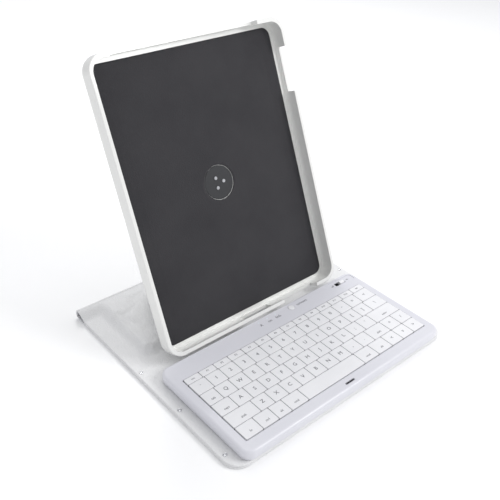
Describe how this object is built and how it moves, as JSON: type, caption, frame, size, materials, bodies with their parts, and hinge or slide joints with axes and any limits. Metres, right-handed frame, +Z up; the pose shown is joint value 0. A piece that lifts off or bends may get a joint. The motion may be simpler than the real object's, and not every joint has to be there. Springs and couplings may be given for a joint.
{
  "type": "tablet keyboard case",
  "caption": "Folio case with a built-in keyboard, a padded base, a rolled spine and a tilting tray that holds a tablet upright on a hinged stand",
  "frame": {"origin": "on the table, under the middle of the case's box", "axes": "+X along the keyboard to the typist's right, +Y away from the typist to the spine, +Z up"},
  "size_m": [0.246, 0.23, 0.2425],
  "materials": {
    "white_leather": "matte",
    "keycap": "matte",
    "housing": "gloss",
    "tray_white": "gloss",
    "dark_plastic": "matte",
    "fibre_board": "matte",
    "grey_liner": "matte",
    "foam": "matte",
    "silicone": "matte",
    "clear_plastic": "gloss",
    "battery_foil": "satin",
    "steel": "satin"
  },
  "bodies": {
    "base": {"base_board": "fibre_board", "base_top_leather": "white_leather", "base_under_skin": "white_leather", "battery": "battery_foil", "charging_socket": "steel", "circuit_board": "dark_plastic", "connect_switch": "dark_plastic", "contact_film": "dark_plastic", "dome_sheet": "silicone", "edge_studs": "steel", "foot_screws": "steel", "hinge_foot": "steel", "hinge_pin": "steel", "key_plate": "steel", "keyboard_bottom_shell": "housing", "keyboard_screws": "steel", "keyboard_tape": "grey_liner", "keyboard_top_shell": "housing", "light_pipes": "clear_plastic", "power_switch": "dark_plastic", "rise_pad": "foam", "spine_leather": "white_leather", "stand_riser": "dark_plastic"},
    "lid": {"lid_under_skin": "white_leather", "lid_board": "fibre_board", "lid_top_leather": "white_leather"},
    "stand": {"stand_plate": "tray_white", "stand_leather": "white_leather"},
    "tray": {"tray_shell": "tray_white", "tray_liner": "grey_liner", "latch_tab": "tray_white", "swivel_disc": "dark_plastic", "hub_cap": "dark_plastic", "hub_screws": "steel", "tilt_bracket": "steel", "bracket_screws": "steel", "tilt_pin": "steel"},
    "connect_button": {"connect_button": "housing"},
    "power_knob": {"power_knob": "housing"},
    "function_keys": {"function_keys": "keycap"},
    "number_keys": {"number_keys": "keycap"},
    "backspace_key": {"backspace_key": "keycap"},
    "upper_letter_keys": {"upper_letter_keys": "keycap"},
    "tab_key": {"tab_key": "keycap"},
    "home_letter_keys": {"home_letter_keys": "keycap"},
    "caps_key": {"caps_key": "keycap"},
    "enter_key": {"enter_key": "keycap"},
    "lower_letter_keys": {"lower_letter_keys": "keycap"},
    "left_shift_key": {"left_shift_key": "keycap"},
    "right_shift_key": {"right_shift_key": "keycap"},
    "up_key": {"up_key": "keycap"},
    "modifier_keys": {"modifier_keys": "keycap"},
    "space_key": {"space_key": "keycap"},
    "left_key": {"left_key": "keycap"},
    "down_key": {"down_key": "keycap"},
    "right_key": {"right_key": "keycap"}
  },
  "joints": [
    {"name": "cover_fold", "type": "hinge", "parent": "base", "child": "lid", "pos_m": [0, 0.114, 0.0021], "axis": [1, 0, 0], "range_deg": [0, 180]},
    {"name": "stand_hinge", "type": "hinge", "parent": "base", "child": "stand", "pos_m": [0, 0.091, 0.0152], "axis": [-1, 0, 0], "range_deg": [0, 50]},
    {"name": "tray_tilt", "type": "hinge", "parent": "stand", "child": "tray", "pos_m": [0, 0.06856, 0.11908], "axis": [-1, 0, 0], "range_deg": [0, 66.7]},
    {"name": "connect_button_press", "type": "slide", "parent": "base", "child": "connect_button", "axis": [0, 0, -1], "range_m": [0, 0.0005], "stiffness_N_per_m": 800, "springref_m": -0.0005},
    {"name": "power_knob_slide", "type": "slide", "parent": "base", "child": "power_knob", "axis": [-1, 0, 0], "range_m": [0, 0.0052]},
    {"name": "function_keys_press", "type": "slide", "parent": "base", "child": "function_keys", "axis": [0, 0, -1], "range_m": [0, 0.0015], "stiffness_N_per_m": 400, "springref_m": -0.0008},
    {"name": "number_keys_press", "type": "slide", "parent": "base", "child": "number_keys", "axis": [0, 0, -1], "range_m": [0, 0.0015], "stiffness_N_per_m": 400, "springref_m": -0.0008},
    {"name": "backspace_key_press", "type": "slide", "parent": "base", "child": "backspace_key", "axis": [0, 0, -1], "range_m": [0, 0.0015], "stiffness_N_per_m": 400, "springref_m": -0.0008},
    {"name": "upper_letter_keys_press", "type": "slide", "parent": "base", "child": "upper_letter_keys", "axis": [0, 0, -1], "range_m": [0, 0.0015], "stiffness_N_per_m": 400, "springref_m": -0.0008},
    {"name": "tab_key_press", "type": "slide", "parent": "base", "child": "tab_key", "axis": [0, 0, -1], "range_m": [0, 0.0015], "stiffness_N_per_m": 400, "springref_m": -0.0008},
    {"name": "home_letter_keys_press", "type": "slide", "parent": "base", "child": "home_letter_keys", "axis": [0, 0, -1], "range_m": [0, 0.0015], "stiffness_N_per_m": 400, "springref_m": -0.0008},
    {"name": "caps_key_press", "type": "slide", "parent": "base", "child": "caps_key", "axis": [0, 0, -1], "range_m": [0, 0.0015], "stiffness_N_per_m": 400, "springref_m": -0.0008},
    {"name": "enter_key_press", "type": "slide", "parent": "base", "child": "enter_key", "axis": [0, 0, -1], "range_m": [0, 0.0015], "stiffness_N_per_m": 400, "springref_m": -0.0008},
    {"name": "lower_letter_keys_press", "type": "slide", "parent": "base", "child": "lower_letter_keys", "axis": [0, 0, -1], "range_m": [0, 0.0015], "stiffness_N_per_m": 400, "springref_m": -0.0008},
    {"name": "left_shift_key_press", "type": "slide", "parent": "base", "child": "left_shift_key", "axis": [0, 0, -1], "range_m": [0, 0.0015], "stiffness_N_per_m": 400, "springref_m": -0.0008},
    {"name": "right_shift_key_press", "type": "slide", "parent": "base", "child": "right_shift_key", "axis": [0, 0, -1], "range_m": [0, 0.0015], "stiffness_N_per_m": 400, "springref_m": -0.0008},
    {"name": "up_key_press", "type": "slide", "parent": "base", "child": "up_key", "axis": [0, 0, -1], "range_m": [0, 0.0015], "stiffness_N_per_m": 400, "springref_m": -0.0008},
    {"name": "modifier_keys_press", "type": "slide", "parent": "base", "child": "modifier_keys", "axis": [0, 0, -1], "range_m": [0, 0.0015], "stiffness_N_per_m": 400, "springref_m": -0.0008},
    {"name": "space_key_press", "type": "slide", "parent": "base", "child": "space_key", "axis": [0, 0, -1], "range_m": [0, 0.0015], "stiffness_N_per_m": 400, "springref_m": -0.0008},
    {"name": "left_key_press", "type": "slide", "parent": "base", "child": "left_key", "axis": [0, 0, -1], "range_m": [0, 0.0015], "stiffness_N_per_m": 400, "springref_m": -0.0008},
    {"name": "down_key_press", "type": "slide", "parent": "base", "child": "down_key", "axis": [0, 0, -1], "range_m": [0, 0.0015], "stiffness_N_per_m": 400, "springref_m": -0.0008},
    {"name": "right_key_press", "type": "slide", "parent": "base", "child": "right_key", "axis": [0, 0, -1], "range_m": [0, 0.0015], "stiffness_N_per_m": 400, "springref_m": -0.0008}
  ]
}
